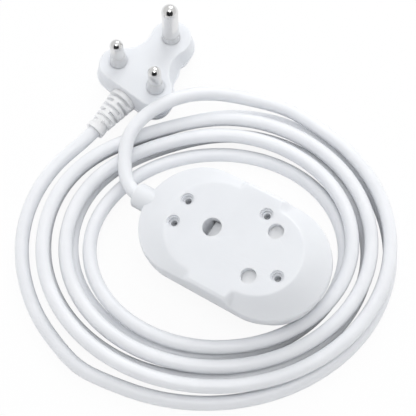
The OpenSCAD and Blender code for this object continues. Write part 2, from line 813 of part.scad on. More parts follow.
pole_plug_route = [
    [2.15, plug_core_y, relief_z - 1.2], [2.15, plug_core_y + 0.9, relief_z - 1.2],
    [3, -3.8, 8.2], [5.2, -1.6, 6.6], [7, -0.3, core_low_z + 0.1], [8.4, 0, core_low_z],
    [pole_y - crimp_r - 0.1, 0, core_low_z]
];
earth_plug_route = [
    [0, plug_core_y, relief_z - 2.4], [0, plug_core_y + 0.9, relief_z - 2.4], [0, -3.2, 7],
    [0, -0.4, core_low_z + 0.2], [0, 2.6, core_low_z], [0, earth_pitch - crimp_r - 0.1, core_low_z]
];

module plug_body() color(white) in_plug()
    difference() {
        union() {
            hull()
                for (k = lobes)
                    translate([k.x, k.y, 0])
                        lobe_upper(k[2]);
            hull()
                for (k = lobes)
                    translate([k.x, k.y, 0])
                        lobe_lower(k[2]);
        }
        for (s = [-1, 1])
            translate([s * waist_place.x, waist_place.y, -1])
                cylinder(r1 = waist_r - flare, r2 = waist_r, h = plug_h + 2);
        bridge_solid(0.1);
        for (i = [0:2])
            translate([pin_places[i].x, pin_places[i].y, 0]) {
                translate([0, 0, tail_z - 0.2])
                    cylinder(r = crimp_r + 0.3, h = bridge_z[0] - tail_z + 0.3);
                translate([0, 0, bridge_z[0]])
                    cylinder(r = collar_rs[i][0] + 0.05, h = plug_h);
            }
        for (i = [1, 2])
            translate([pin_places[i].x, pin_places[i].y, plug_h - groove_depth])
                cylinder(r = groove_r, h = 2);
        translate([0, relief_x0 - relief_mouth, relief_z])
            rotate([-90, 0, 0])
                cylinder(r = relief_r + 0.05, h = relief_mouth + relief_root + 0.1);
        translate([-pole_y + crimp_r, relief_x0 + relief_root, core_low_z - core_room])
            cube([pole_pitch - 2 * crimp_r, core_room - relief_x0 - relief_root, core_slot_h]);
        translate([-core_room, 0, core_low_z - core_room])
            cube([2 * core_room, earth_pitch, core_slot_h]);
        translate([-relief_bore_r, relief_x0 + relief_root, bridge_z[0] - eps])
            cube([2 * relief_bore_r, -bridge_bar / 2 - relief_x0 - relief_root, 1]);
    }

module plug_bridge() color(pale) in_plug()
    difference() {
        bridge_solid(0);
        for (i = [0:2])
            translate([pin_places[i].x, pin_places[i].y, bridge_z[0] - 1])
                cylinder(r = pin_rs[i] - pin_neck + 0.03, h = 10);
    }

// a pin with a round tip, a neck inside its collar and a thin tail
module pin_solid(r, len, collar_h) {
    rotate_extrude()
        polygon(concat(
            [[0, tail_z + 2.1], [tail_r, tail_z + 2.1], [tail_r, bridge_z[0]], [r - pin_neck, bridge_z[0]],
             [r - pin_neck, plug_h + collar_h], [r, plug_h + collar_h]],
            arc(0, plug_h + len - r, r, 0, 90, 8)
        ));
}

module earth_pin() color(nickel) in_plug()
    translate([pin_places[0].x, pin_places[0].y, 0])
        pin_solid(earth_pin_r, earth_pin_len, earth_collar_h);

module live_pin() color(nickel) in_plug()
    translate([pin_places[1].x, pin_places[1].y, 0])
        pin_solid(pole_pin_r, pole_pin_len, pole_collar_h);

module neutral_pin() color(nickel) in_plug()
    translate([pin_places[2].x, pin_places[2].y, 0])
        pin_solid(pole_pin_r, pole_pin_len, pole_collar_h);

module pin_collars() color(white) in_plug()
    for (i = [0:2])
        translate([pin_places[i].x, pin_places[i].y, 0])
            difference() {
                union() {
                    translate([0, 0, collar_foot])
                        cylinder(r = collar_rs[i][0], h = plug_h - collar_foot);
                    translate([0, 0, plug_h - eps])
                        cylinder(r1 = collar_rs[i][0], r2 = collar_rs[i][1], h = collar_hs[i] + eps);
                }
                translate([0, 0, collar_foot - 1])
                    cylinder(r = pin_rs[i] - pin_neck + 0.02, h = plug_h + collar_hs[i]);
            }

module pin_crimps() color(brass) in_plug()
    for (p = pin_places)
        translate([p.x, p.y, tail_z])
            difference() {
                cylinder(r = crimp_r, h = bridge_z[0] - tail_z - 0.3);
                translate([0, 0, 2])
                    cylinder(r = tail_r + 0.05, h = 10);
            }

module plug_earth_core() color([0.55, 0.7, 0.2]) in_plug() core(earth_plug_route);

module plug_live_core() color([0.45, 0.28, 0.16]) in_plug() core(pole_plug_route);

module plug_neutral_core() color([0.2, 0.4, 0.75]) in_plug() mirror([1, 0, 0]) core(pole_plug_route);

// ---- strain relief: rings with long slots in turn with rings with a bridge in front ----
relief_flange = 2.3;
relief_bore_r = cord_r + 0.1;
relief_sleeve_r = cord_r + 0.9;
slot_share = 0.5;
bridge_w = 2.6;

module strain_relief() color(white) in_plug()
    translate([0, relief_x0, relief_z])
        rotate([90, 0, 0])
            difference() {
                union() {
                    translate([0, 0, -relief_root])
                        cylinder(r = relief_r, h = relief_root + 2);
                    translate([0, 0, 2])
                        cylinder(r1 = relief_r, r2 = relief_end_r, h = relief_len - relief_flange - 2);
                    translate([0, 0, relief_len - relief_flange])
                        cylinder(r = relief_end_r + 0.3, h = relief_flange);
                }
                translate([0, 0, -relief_root - 1])
                    cylinder(r = relief_bore_r, h = relief_root + relief_len + 2);
                ring_step = (relief_len - relief_flange - 3) / relief_rings;
                for (i = [0:relief_rings - 1])
                    translate([0, 0, 3 + ring_step * i])
                        difference() {
                            cylinder(r = relief_r + 2, h = ring_step * slot_share);
                            translate([0, 0, -1])
                                cylinder(r = relief_sleeve_r, h = ring_step + 2);
                            rotate([0, 0, i % 2 == 0 ? 0 : 90])
                                translate([-relief_r - 3, -bridge_w / 2, -1])
                                    cube([2 * relief_r + 6, bridge_w, ring_step + 2]);
                        }
            }

upper_shell();
lower_shell();
upper_shutter();
lower_shutter();
upper_shutter_spring();
lower_shutter_spring();
contact_carrier();
live_contact();
neutral_contact();
earth_contact();
terminal_screws();
housing_screws();
cord_clamp();
clamp_screws();
coupler_live_core();
coupler_neutral_core();
coupler_earth_core();
cord_coupler_stretch();
cord_coil();
cord_plug_stretch();
strain_relief();
plug_body();
plug_bridge();
earth_pin();
live_pin();
neutral_pin();
pin_collars();
pin_crimps();
plug_live_core();
plug_neutral_core();
plug_earth_core();
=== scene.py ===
import json
import math

import bpy
from mathutils import Matrix, Vector

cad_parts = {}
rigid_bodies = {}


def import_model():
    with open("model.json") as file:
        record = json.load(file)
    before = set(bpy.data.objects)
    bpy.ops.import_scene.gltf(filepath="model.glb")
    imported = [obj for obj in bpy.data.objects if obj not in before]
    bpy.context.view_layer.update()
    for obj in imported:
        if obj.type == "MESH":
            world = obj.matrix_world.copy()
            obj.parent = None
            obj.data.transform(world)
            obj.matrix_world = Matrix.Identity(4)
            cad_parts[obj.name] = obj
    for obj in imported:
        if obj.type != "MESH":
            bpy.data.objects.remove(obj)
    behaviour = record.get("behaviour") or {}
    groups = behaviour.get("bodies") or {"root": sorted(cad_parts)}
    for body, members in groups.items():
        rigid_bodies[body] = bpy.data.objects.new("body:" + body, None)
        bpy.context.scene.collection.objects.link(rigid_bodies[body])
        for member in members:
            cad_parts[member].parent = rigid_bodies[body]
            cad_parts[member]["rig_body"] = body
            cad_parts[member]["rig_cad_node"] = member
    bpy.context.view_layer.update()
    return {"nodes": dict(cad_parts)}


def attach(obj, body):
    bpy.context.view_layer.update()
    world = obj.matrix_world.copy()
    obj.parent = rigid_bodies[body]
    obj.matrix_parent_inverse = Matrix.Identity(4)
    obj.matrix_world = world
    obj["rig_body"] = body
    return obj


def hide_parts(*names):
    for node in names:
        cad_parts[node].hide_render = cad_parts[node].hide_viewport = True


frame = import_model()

nodes = frame["nodes"]
mainBody = "cord_set"
mm = 0.001
scene = bpy.context.scene
print("frame loaded:", len(nodes), "nodes")

# camera: above the front, looking down at the coil

cameraSettings = {
    "lens": 99.52,
    "azimuth": 32.8,
    "elevation": 67.0,
    "distance": 0.599,
    "target": (-0.0237, 0.0198, 0.0),
}


def addCamera(s):
    azimuth = math.radians(s["azimuth"])
    elevation = math.radians(s["elevation"])
    back = Vector((math.sin(azimuth) * math.cos(elevation),
                   -math.cos(azimuth) * math.cos(elevation),
                   math.sin(elevation)))
    place = Vector(s["target"]) + back * s["distance"]
    bpy.ops.object.camera_add(location=place, rotation=(math.pi / 2 - elevation, 0, azimuth))
    camera = bpy.context.object
    camera.name = "photoCamera"
    camera.data.lens = s["lens"]
    camera.data.sensor_width = 36
    camera.data.clip_start = 0.01
    scene.camera = camera
    return camera


addCamera(cameraSettings)
print("camera placed")


# small helpers for selecting and finishing

def deselectAll():
    if bpy.context.object and bpy.context.object.mode != "OBJECT":
        bpy.ops.object.mode_set(mode="OBJECT")
    bpy.ops.object.select_all(action="DESELECT")


def pick(obj):
    deselectAll()
    bpy.context.view_layer.objects.active = obj
    obj.select_set(True)


def applyModifiers(obj):
    pick(obj)
    for modifier in list(obj.modifiers):
        bpy.ops.object.modifier_apply(modifier=modifier.name)


def addBevel(obj, width, segments=3, angle=32):
    modifier = obj.modifiers.new("bevel", "BEVEL")
    modifier.width = width
    modifier.segments = segments
    modifier.limit_method = "ANGLE"
    modifier.angle_limit = math.radians(angle)
    modifier.harden_normals = False
    modifier.miter_outer = "MITER_ARC"
    return modifier


def smoothFaces(piece, angle):
    pick(piece)
    bpy.ops.object.shade_smooth_by_angle(angle=math.radians(angle))
    modifier = piece.modifiers.new("normals", "WEIGHTED_NORMAL")
    modifier.mode = "FACE_AREA"
    modifier.weight = 60
    modifier.keep_sharp = True
    applyModifiers(piece)


# the cord: one tube from the coupler, through the coil, to the plug

cordSettings = {
    "diameter": 7.2,
    "turns": 5.5,
    "halfLength": 78.0,
    "halfWidth": 66.5,
    "pitch": 9.5,
    "layerStep": 7.7,
    "floorHeight": 3.6,
    "centre": (-7.8, 2.5),
    "turned": 34.5,
    "startAngle": 55.0,
    "innerStep": 14.3,
    "loosen": 1.9,
    "tight": 2.0,
    "fan": 0.24,
    "fanSide": 150.0,
    "press": 0.32,
    "pressSide": 112.0,
    "pressSpread": 10.0,
    "pointsPerTurn": 48,
}
couplerSettings = {
    "pitch": 9.0,
    "roll": 6.0,
    "place": (11.285, 2.247, 8.241),
    "noseEnd": -62.6,
    "noseRadius": 6.6,
    "partingHeight": 20.0,
    "faceHeight": 33.0,
    "faceThickness": 3.6,
    "ends": (-25.0, 17.0),
    "rimRadius": 29.9,
    "wall": 2.4,
    "bandHeight": 3.0,
    "wallSlope": 9.2,
    "edgeRounding": 4.5,
    "creaseRounding": 0.5,
    "wallRounding": 2.6,
    "endRays": 120,
    "sideRays": 100,
    "creaseSteps": 6,
    "slopeSteps": 16,
    "edgeSteps": 14,
    "innerSteps": 5,
}
scallopSettings = {
    "cordEnd": {"centre": -14.7, "radius": 23.6, "fall": 0.51,
                "stop": -11.7, "away": -1, "widths": (4.5, 4.5)},
    "farEnd": {"centre": 12.0, "radius": 22.1, "fall": 0.74,
               "stop": 11.0, "away": 1, "widths": (5.0, 6.0)},
}
socketSettings = {
    "earthHole": (-14.29, 0.0, 4.8),
    "liveHole": (14.29, 12.7, 3.9),
    "neutralHole": (14.29, -12.7, 3.9),
}
screwSettings = {
    "places": ((-32.8, 6.5), (-32.8, -6.5), (5.9, 17.9), (26.6, -6.7)),
    "counterboreRadius": 3.4,
    "counterboreDepth": 1.3,
    "seatRadius": 2.6,
    "seatDepth": 2.6,
    "pilotRadius": 1.6,
    "tubeRadius": 2.6,
}
guardSettings = {
    "guard": ((-20.9, -17.9), (-4.9, 4.9), (20.3, 30.0)),  # beside the earth hole, cut round by it
    "guardFoot": ((-20.9, -17.9), (-4.9, 6.3), (20.3, 21.3)),
    "rail": ((-20.9, -8.0), (5.3, 6.3), (20.3, 26.8)),  # beside the ramp, under the spring's arm
}
plugSettings = {
    "place": (-91.9, 56.5),
    "yaw": -5.5,
    "reliefHeight": 10.5,
    "reliefStart": -11.3,
    "reliefEnd": -36.0,
    "reliefRadius": 7.55,
    "height": 21.0,
    "earthLobe": (0.0, 28.58, 11.0),
    "poleLobe": (12.2, -1.3, 10.0),
    "waistRadius": 15.0,
    "waistFlare": 1.5,
    "flare": 1.7,
    "ledge": 0.4,
    "ledgeHeight": 11.0,
    "crown": 0.8,
    "backTaper": 3.4,
    "footRounding": 3.0,
}
pinSettings = {
    "earthPin": {"node": "earth_pin", "place": (0.0, 28.58), "radius": 4.35,
                 "length": 28.6, "collar": 4.5, "well": 4.8, "groove": 0},
    "livePin": {"node": "live_pin", "place": (12.7, 0.0), "radius": 3.53,
                "length": 18.6, "collar": 7.0, "well": 4.45, "groove": 5.3},
    "neutralPin": {"node": "neutral_pin", "place": (-12.7, 0.0), "radius": 3.53,
                   "length": 18.6, "collar": 7.0, "well": 4.45, "groove": 5.3},
}
pinShape = {"tailStart": 6.1, "tailRadius": 2.0, "tailEnd": 10.0, "neck": 0.4, "lip": 0.15, "sides": 64}
plugRooms = {
    "crimpRadius": 3.2,
    "crimpHeights": (3.8, 10.5),
    "bridgeRadius": 6.5,
    "bridgeHalfWidth": 4.1,
    "bridgeHeights": (9.9, 15.6),
    "coreHeights": (3.9, 10.2),
    "coreHalfWidth": 1.7,
    "coreSpan": 9.9,
    "coreStart": -5.4,
    "wellStart": 12.0,
    "grooveDepth": 0.4,
    "reliefDepth": 6.1,
    "above": 30.0,
}


couplerTurn = (Matrix.Rotation(-math.radians(couplerSettings["pitch"]), 3, "Y")
               @ Matrix.Rotation(math.radians(couplerSettings["roll"]), 3, "X"))


def couplerPoint(x, y, z):
    return couplerTurn @ Vector((x, y, z)) + Vector(couplerSettings["place"])


def plugPoint(x, y, z):
    s = plugSettings
    turn = Matrix.Rotation(math.radians(s["yaw"]), 3, "Z")
    return turn @ Vector((x, y, z)) + Vector((s["place"][0], s["place"][1], 0))


def cosine(degrees):
    return math.cos(math.radians(degrees))


def coilPoint(s, t):
    half = s["turns"] / 2
    angle = s["startAngle"] - 360 * t
    share = min(1, max(0, (t - half) * 2 + 0.5))
    climb = share * share * (3 - 2 * share)
    widening = (1 + s["fan"] * ((1 + cosine(angle - s["fanSide"])) / 2) ** 2
                - s["press"] * math.exp(s["pressSpread"] * (cosine(angle - s["pressSide"]) - 1)))
    rate = (s["pitch"] + (s["loosen"] if t > half else 0)) * widening
    out = rate * abs(t - half) - s["innerStep"] - s["tight"] * climb
    x = (s["halfLength"] + out) * cosine(angle)
    y = (s["halfWidth"] + out) * math.sin(math.radians(angle))
    turned = math.radians(s["turned"])
    return Vector((s["centre"][0] + x * math.cos(turned) - y * math.sin(turned),
                   s["centre"][1] + x * math.sin(turned) + y * math.cos(turned),
                   s["floorHeight"] + s["layerStep"] * (1 - climb)))


def smoothCurve(points, steps):
    result = []
    for i in range(len(points) - 1):
        a, b = points[max(i - 1, 0)], points[i]
        c, d = points[i + 1], points[min(i + 2, len(points) - 1)]
        for k in range(steps):
            s = k / steps
            result.append(0.5 * (2 * b + (c - a) * s + (2 * a - 5 * b + 4 * c - d) * s * s
                                 + (3 * b - a - 3 * c + d) * s ** 3))
    result.append(points[-1])
    return result


def relaxRoute(points, rounds, fixedEnds):
    for _ in range(rounds):
        old = [p.copy() for p in points]
        for i in range(fixedEnds, len(points) - fixedEnds):
            points[i] = old[i] * 0.5 + (old[i - 1] + old[i + 1]) * 0.25
    return points


def evenSteps(points, step):
    result = [points[0].copy()]
    left = step
    for a, b in zip(points, points[1:]):
        span = (b - a).length
        done = 0.0
        while span - done >= left:
            done += left
            result.append(a.lerp(b, done / span))
            left = step
        left -= span - done
    result.append(points[-1].copy())
    return result


def cordRoute(s):
    count = int(s["turns"] * s["pointsPerTurn"])
    coil = [coilPoint(s, s["turns"] * i / count) for i in range(count + 1)]
    inward = (coil[0] - coil[1]).normalized()
    outward = (coil[-1] - coil[-2]).normalized()
    height = couplerSettings["partingHeight"]
    nose = couplerSettings["noseEnd"]
    lead = [couplerPoint(nose + 16, 0, height), couplerPoint(nose, 0, height),
            couplerPoint(nose - s["diameter"], 0, height)]
    lead += [Vector(p) for p in ((-68, 10, 19), (-73, 17, 21), (-75.5, 25, 22.5), (-75, 34, 23.5),
                                 (-72, 43, 24), (-66, 55, 23.5), (-58, 65, 20.5), (-48, 73, 17),
                                 (-36, 79, 14.2))]
    lead += [coil[0] + inward * 2 * s["diameter"], coil[0]]
    tail = [coil[-1], coil[-1] + outward * 2 * s["diameter"]]
    tail += [Vector(p) for p in ((-37, -86, 3.7), (-62, -77, 3.9), (-81, -63, 4.6), (-93, -48, 5.6),
                                 (-100, -31, 6.8), (-102, -14, 8.3), (-100, 1, 9.8))]
    rest = plugSettings
    tail += [plugPoint(0, rest["reliefEnd"] - s["diameter"], rest["reliefHeight"]),
             plugPoint(0, rest["reliefEnd"], rest["reliefHeight"]),
             plugPoint(0, rest["reliefStart"] + 5, rest["reliefHeight"])]
    route = smoothCurve(lead, 8)[:-1] + coil[:-1] + smoothCurve(tail, 8)
    route = relaxRoute(evenSteps(route, 4.0), 6, 5)
    return [p * mm for p in route]


def addCord(s):
    route = cordRoute(s)
    curve = bpy.data.curves.new("cord", "CURVE")
    curve.dimensions = "3D"
    spline = curve.splines.new("POLY")
    spline.points.add(len(route) - 1)
    for point, place in zip(spline.points, route):
        point.co = (*place, 1)
    curve.bevel_depth = s["diameter"] / 2 * mm
    curve.bevel_resolution = 5
    curve.use_fill_caps = True
    curve.twist_mode = "MINIMUM"
    cord = bpy.data.objects.new("cord", curve)
    scene.collection.objects.link(cord)
    for spline in curve.splines:
        spline.use_smooth = True
    length = sum((b - a).length for a, b in zip(route, route[1:]))
    print("cord laid:", len(route), "points,", round(length, 3), "m")
    return cord, length


cord, cordLength = addCord(cordSettings)

# materials: each is built from the noise, bump and gloss that the finish shows

whiteTone = (0.82, 0.84, 0.875)

plasticFinish = {
    "shellPlastic": {"colour": whiteTone,
                     "rough": 0.34, "grain": 900, "bump": 0.05, "shade": 0.012},
    "plugPlastic": {"colour": whiteTone,
                    "rough": 0.38, "grain": 700, "bump": 0.06, "shade": 0.014},
    "cordSheath": {"colour": (0.85, 0.865, 0.895),
                   "rough": 0.36, "grain": 260, "bump": 0.10, "shade": 0.02},
    # the sleeve's soft PVC, given a lighter colour than the other white plastic: painted light that
    # makes up for the shade in its slots and from the dark card
    "reliefPlasticPaintedLight": {"colour": (0.925, 0.935, 0.955),
                      "rough": 0.40, "grain": 500, "bump": 0.08, "shade": 0.014},
    "shutterPlastic": {"colour": (0.86, 0.87, 0.885),
                       "rough": 0.45, "grain": 700, "bump": 0.05, "shade": 0.02},
    "innerPlastic": {"colour": (0.74, 0.745, 0.76),
                     "rough": 0.5, "grain": 500, "bump": 0.06, "shade": 0.03},
    "brownCore": {"colour": (0.16, 0.07, 0.03),
                  "rough": 0.4, "grain": 500, "bump": 0.05, "shade": 0.01, "depth": 0.0},
    "blueCore": {"colour": (0.03, 0.13, 0.5),
                 "rough": 0.4, "grain": 500, "bump": 0.05, "shade": 0.01, "depth": 0.0},
    "greenCore": {"colour": (0.3, 0.45, 0.04),
                  "rough": 0.4, "grain": 500, "bump": 0.05, "shade": 0.01, "depth": 0.0},
}

metalFinish = {
    "pinNickel": {"colour": (0.76, 0.755, 0.75),
                  "rough": 0.18, "spread": 0.08, "grain": 1400, "bump": 0.015},
    "contactBrass": {"colour": (0.62, 0.42, 0.14),
                     "rough": 0.3, "spread": 0.12, "grain": 900, "bump": 0.05},
    "screwSteel": {"colour": (0.42, 0.43, 0.45),
                   "rough": 0.34, "spread": 0.14, "grain": 900, "bump": 0.08},
}


def startMaterial(name):
    material = bpy.data.materials.new(name)
    material.use_nodes = True
    tree = material.node_tree
    shader = tree.nodes["Principled BSDF"]
    coordinates = tree.nodes.new("ShaderNodeTexCoord")
    return material, tree, shader, coordinates


def addNoise(tree, coordinates, scale, detail):
    noise = tree.nodes.new("ShaderNodeTexNoise")
    noise.inputs["Scale"].default_value = scale
    noise.inputs["Detail"].default_value = detail
    noise.inputs["Roughness"].default_value = 0.55
    tree.links.new(coordinates.outputs["Object"], noise.inputs["Vector"])
    return noise


def addBump(tree, shader, noise, strength, distance):
    bump = tree.nodes.new("ShaderNodeBump")
    bump.inputs["Strength"].default_value = strength
    bump.inputs["Distance"].default_value = distance
    tree.links.new(noise.outputs["Fac"], bump.inputs["Height"])
    tree.links.new(bump.outputs["Normal"], shader.inputs["Normal"])


def plastic(name, s):
    material, tree, shader, coordinates = startMaterial(name)
    patches = addNoise(tree, coordinates, 55, 3)
    ramp = tree.nodes.new("ShaderNodeValToRGB")
    low = [max(0, c * (1 - s["shade"])) for c in s["colour"]]
    high = [min(1, c * (1 + s["shade"])) for c in s["colour"]]
    ramp.color_ramp.elements[0].position = 0.35
    ramp.color_ramp.elements[1].position = 0.65
    ramp.color_ramp.elements[0].color = (*low, 1)
    ramp.color_ramp.elements[1].color = (*high, 1)
    tree.links.new(patches.outputs["Fac"], ramp.inputs["Fac"])
    tree.links.new(ramp.outputs["Color"], shader.inputs["Base Color"])
    sheenRange = tree.nodes.new("ShaderNodeMapRange")
    sheenRange.inputs["To Min"].default_value = s["rough"] - 0.05
    sheenRange.inputs["To Max"].default_value = s["rough"] + 0.05
    tree.links.new(patches.outputs["Fac"], sheenRange.inputs["Value"])
    tree.links.new(sheenRange.outputs["Result"], shader.inputs["Roughness"])
    grain = addNoise(tree, coordinates, s["grain"], 2)
    addBump(tree, shader, grain, s["bump"], 0.0004)
    shader.inputs["IOR"].default_value = 1.5
    shader.inputs["Subsurface Weight"].default_value = s.get("depth", 0.6)
    shader.inputs["Subsurface Radius"].default_value = (1.0, 1.0, 1.0)
    shader.inputs["Subsurface Scale"].default_value = 0.0035
    return material


def metal(name, s):
    material, tree, shader, coordinates = startMaterial(name)
    shader.inputs["Metallic"].default_value = 1
    shader.inputs["Base Color"].default_value = (*s["colour"], 1)
    wear = addNoise(tree, coordinates, 240, 4)
    roughRange = tree.nodes.new("ShaderNodeMapRange")
    roughRange.inputs["To Min"].default_value = s["rough"] - s["spread"] / 2
    roughRange.inputs["To Max"].default_value = s["rough"] + s["spread"] / 2
    tree.links.new(wear.outputs["Fac"], roughRange.inputs["Value"])
    tree.links.new(roughRange.outputs["Result"], shader.inputs["Roughness"])
    grain = addNoise(tree, coordinates, s["grain"], 2)
    addBump(tree, shader, grain, s["bump"], 0.0003)
    return material


finishes = {name: plastic(name, s) for name, s in plasticFinish.items()}
finishes.update({name: metal(name, s) for name, s in metalFinish.items()})
print("materials made:", len(finishes))

nodeFinish = {
    "upper_shell": "shellPlastic", "lower_shell": "shellPlastic",
    "upper_shutter": "shutterPlastic", "lower_shutter": "shutterPlastic",
    "upper_shutter_spring": "screwSteel", "lower_shutter_spring": "screwSteel",
    "contact_carrier": "innerPlastic", "cord_clamp": "innerPlastic",
    "plug_bridge": "innerPlastic", "live_contact": "contactBrass",
    "neutral_contact": "contactBrass", "earth_contact": "contactBrass",
    "pin_crimps": "contactBrass",
    "terminal_screws": "screwSteel", "housing_screws": "screwSteel",
    "clamp_screws": "screwSteel",
    "coupler_live_core": "brownCore", "plug_live_core": "brownCore",
    "coupler_neutral_core": "blueCore", "plug_neutral_core": "blueCore",
    "coupler_earth_core": "greenCore", "plug_earth_core": "greenCore",
    "cord_coupler_stretch": "cordSheath", "cord_coil": "cordSheath",
    "cord_plug_stretch": "cordSheath",
    "strain_relief": "reliefPlasticPaintedLight", "plug_body": "plugPlastic", "pin_collars": "plugPlastic",
    "earth_pin": "pinNickel", "live_pin": "pinNickel", "neutral_pin": "pinNickel",
}


def setFinish(obj, name):
    obj.data.materials.clear()
    obj.data.materials.append(finishes[name])


for nodeName, finishName in nodeFinish.items():
    setFinish(nodes[nodeName], finishName)
print("nodes finished")


# moulded pieces: a merged copy of the node with its edges rounded

mouldedPieces = {
    "couplerBase": {"node": "lower_shell", "bevel": 0.35, "angle": 24, "smooth": 40},
    "reliefSleeve": {"node": "strain_relief", "bevel": 0.22, "angle": 35, "smooth": 30},
    "collars": {"node": "pin_collars", "bevel": 0.3, "angle": 30, "smooth": 40},
}


def roundedCopy(name, s):
    source = nodes[s["node"]]
    pick(source)
    bpy.ops.object.duplicate()
    piece = bpy.context.object
    piece.name = name
    piece.parent = None
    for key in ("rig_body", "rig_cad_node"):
        if key in piece:
            del piece[key]
    piece.data = piece.data.copy()
    bpy.ops.object.mode_set(mode="EDIT")
    bpy.ops.mesh.select_all(action="SELECT")
    bpy.ops.mesh.remove_doubles(threshold=2e-6)
    bpy.ops.mesh.dissolve_limited(angle_limit=math.radians(0.5))
    bpy.ops.object.mode_set(mode="OBJECT")
    addBevel(piece, s["bevel"] * mm, 3, s["angle"])
    applyModifiers(piece)
    smoothFaces(piece, s["smooth"])
    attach(piece, mainBody)
    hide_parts(s["node"])
    print("rounded", name, len(piece.data.polygons), "faces")
    return piece


moulded = {name: roundedCopy(name, s) for name, s in mouldedPieces.items()}


# upper shell of the coupler: a face with two scallops that fade out at soft steps

def smoothStep(value):
    value = min(1, max(0, value))
    return value * value * (3 - 2 * value)


def smoothMin(a, b, rounding):
    share = max(rounding - abs(a - b), 0) / rounding
    return min(a, b) - share * share * rounding / 4


def topHeight(s, x, y, out):
    wallHeight = (s["partingHeight"] + s["bandHeight"]
                  + s["wallSlope"] * (s["rimRadius"] - out))
    height = smoothMin(s["faceHeight"], wallHeight, s["edgeRounding"])
    nearWall = smoothStep((out - s["rimRadius"] + 3.2) / 2)
    rounding = s["creaseRounding"] + (s["wallRounding"] - s["creaseRounding"]) * nearWall
    for end in scallopSettings.values():
        reach = math.hypot(x - end["centre"], y) - end["radius"]
        width = end["widths"][0 if y < 0 else 1]
        share = smoothStep(0.5 + (x - end["stop"]) * end["away"] / width)
        cut = s["faceHeight"] - end["fall"] * reach * share + (1 - share) * s["creaseRounding"]
        height = smoothMin(height, cut, rounding)
    return height


def outlineRays(s):
    first, last = s["ends"]
    rays = []
    for i in range(s["endRays"]):
        angle = math.pi * (i / s["endRays"] - 0.5)
        rays.append((last, math.cos(angle), math.sin(angle)))
    for i in range(s["sideRays"]):
        rays.append((last + (first - last) * i / s["sideRays"], 0.0, 1.0))
    for i in range(s["endRays"]):
        angle = math.pi * (i / s["endRays"] + 0.5)
        rays.append((first, math.cos(angle), math.sin(angle)))
    for i in range(s["sideRays"]):
        rays.append((first + (last - first) * i / s["sideRays"], 0.0, -1.0))
    return rays


def flatReach(s, ray):
    start, alongX, alongY = ray
    end = scallopSettings["farEnd" if start > 0 else "cordEnd"]
    radius = end["radius"] - s["creaseRounding"] / end["fall"]
    offset = start - end["centre"]
    half = offset * alongX
    return -half + math.sqrt(half * half + radius * radius - offset * offset)


def spread(first, last, steps):
    return [first + (last - first) * j / steps for j in range(steps)]


def shellColumn(s, ray):
    start, alongX, alongY = ray
    rim, parting = s["rimRadius"], s["partingHeight"]
    flat = flatReach(s, ray)
    inside = rim - s["wall"]
    column = []
    reaches = [flat - 0.6] + spread(flat, flat + 2, s["creaseSteps"])
    reaches += spread(flat + 2, rim - 3, s["slopeSteps"])
    reaches += spread(rim - 3, rim, s["edgeSteps"]) + [rim]
    for out in reaches:
        x, y = start + alongX * out, alongY * out
        column.append((x, y, topHeight(s, x, y, out)))
    for out in (rim, inside):
        column.append((start + alongX * out, alongY * out, parting))
    for out in spread(inside, flat, s["innerSteps"]) + [flat]:
        x, y = start + alongX * out, alongY * out
        column.append((x, y, topHeight(s, x, y, out) - s["faceThickness"]))
    return column


def addPart(name, vertices, faces):
    mesh = bpy.data.meshes.new(name)
    mesh.from_pydata([Vector(v) * mm for v in vertices], [], faces)
    part = bpy.data.objects.new(name, mesh)
    scene.collection.objects.link(part)
    pick(part)
    bpy.ops.object.mode_set(mode="EDIT")
    bpy.ops.mesh.select_all(action="SELECT")
    bpy.ops.mesh.normals_make_consistent(inside=False)
    bpy.ops.object.mode_set(mode="OBJECT")
    return part


def addRods(name, rods, sides=64):
    made = []
    for x, y, radius, low, high in rods:
        deselectAll()
        bpy.ops.mesh.primitive_cylinder_add(vertices=sides, radius=radius * mm,
                                            depth=(high - low) * mm,
                                            location=(x * mm, y * mm, (low + high) / 2 * mm))
        made.append(bpy.context.object)
    deselectAll()
    for rod in made:
        rod.select_set(True)
    bpy.context.view_layer.objects.active = made[0]
    if len(made) > 1:
        bpy.ops.object.join()
    rods = bpy.context.object
    rods.name = name
    bpy.ops.object.transform_apply(location=True, rotation=True, scale=True)
    return rods


def addBlocks(name, blocks):
    made = []
    for x, y, z in blocks:
        deselectAll()
        bpy.ops.mesh.primitive_cube_add(size=1)
        block = bpy.context.object
        block.scale = [(high - low) * mm for low, high in (x, y, z)]
        block.location = [(low + high) / 2 * mm for low, high in (x, y, z)]
        made.append(block)
    deselectAll()
    for block in made:
        block.select_set(True)
    bpy.context.view_layer.objects.active = made[0]
    if len(made) > 1:
        bpy.ops.object.join()
    blocks = bpy.context.object
    blocks.name = name
    bpy.ops.object.transform_apply(location=True, rotation=True, scale=True)
    return blocks


def combine(piece, other, operation):
    modifier = piece.modifiers.new(other.name, "BOOLEAN")
    modifier.operation = operation
    modifier.solver = "EXACT"
    modifier.object = other
    pick(piece)
    bpy.ops.object.modifier_apply(modifier=modifier.name)
    bpy.data.objects.remove(other)


def addNoseHalf(s):
    radius, rounding, parting = s["noseRadius"], 1.2, s["partingHeight"]
    rows = [(s["noseEnd"], radius - rounding - 1.5)]
    for k in range(6):
        angle = math.radians(18 * k)
        rows.append((s["noseEnd"] + rounding * (1 - math.sin(angle)),
                     radius - rounding + rounding * math.cos(angle)))
    rows = [rows[0]] + rows[:0:-1] + [(s["ends"][0] - s["rimRadius"] + 8, radius)]
    count = 32
    vertices, faces = [], []
    for x, r in rows:
        for i in range(count + 1):
            angle = math.pi * i / count
            vertices.append((x, r * math.cos(angle), parting + r * math.sin(angle)))
    width = count + 1
    for j in range(len(rows) - 1):
        for i in range(count):
            a = j * width + i
            faces.append((a, a + 1, a + width + 1, a + width))
    faces.append(tuple(range(count, -1, -1)))
    faces.append(tuple(range((len(rows) - 1) * width, len(rows) * width)))
    under = [j * width for j in range(len(rows))]
    faces.append(tuple(under) + tuple(j * width + count for j in reversed(range(len(rows)))))
    return addPart("noseHalf", vertices, faces)


